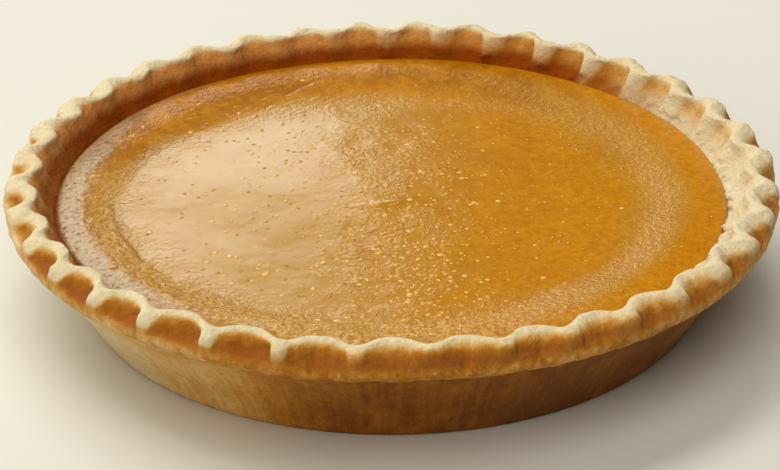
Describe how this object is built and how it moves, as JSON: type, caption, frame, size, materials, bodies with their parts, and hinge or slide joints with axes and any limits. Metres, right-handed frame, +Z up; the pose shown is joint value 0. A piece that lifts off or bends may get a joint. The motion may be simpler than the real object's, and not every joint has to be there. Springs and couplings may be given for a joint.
{
  "type": "pumpkin pie",
  "caption": "Whole baked pumpkin pie out of its dish: round pastry case with a crimped edge, filled with smooth set pumpkin custard that has a low puffed ring along the crust.",
  "frame": {"origin": "centre of the round base, on the surface that the pie stands on", "axes": "+Z up, square to the base; +X to the right and -Y towards the viewer as pictured"},
  "size_m": [0.2496, 0.2496, 0.0421],
  "materials": {
    "pastry": "dry baked shortcrust pastry, pale cream on the crest, golden brown in the hollows and down the wall",
    "custard": "set pumpkin custard, orange brown, a soft satin skin with small bubbles"
  },
  "bodies": {
    "root": {"pastry_case": "pastry", "pumpkin_filling": "custard"}
  },
  "joints": []
}
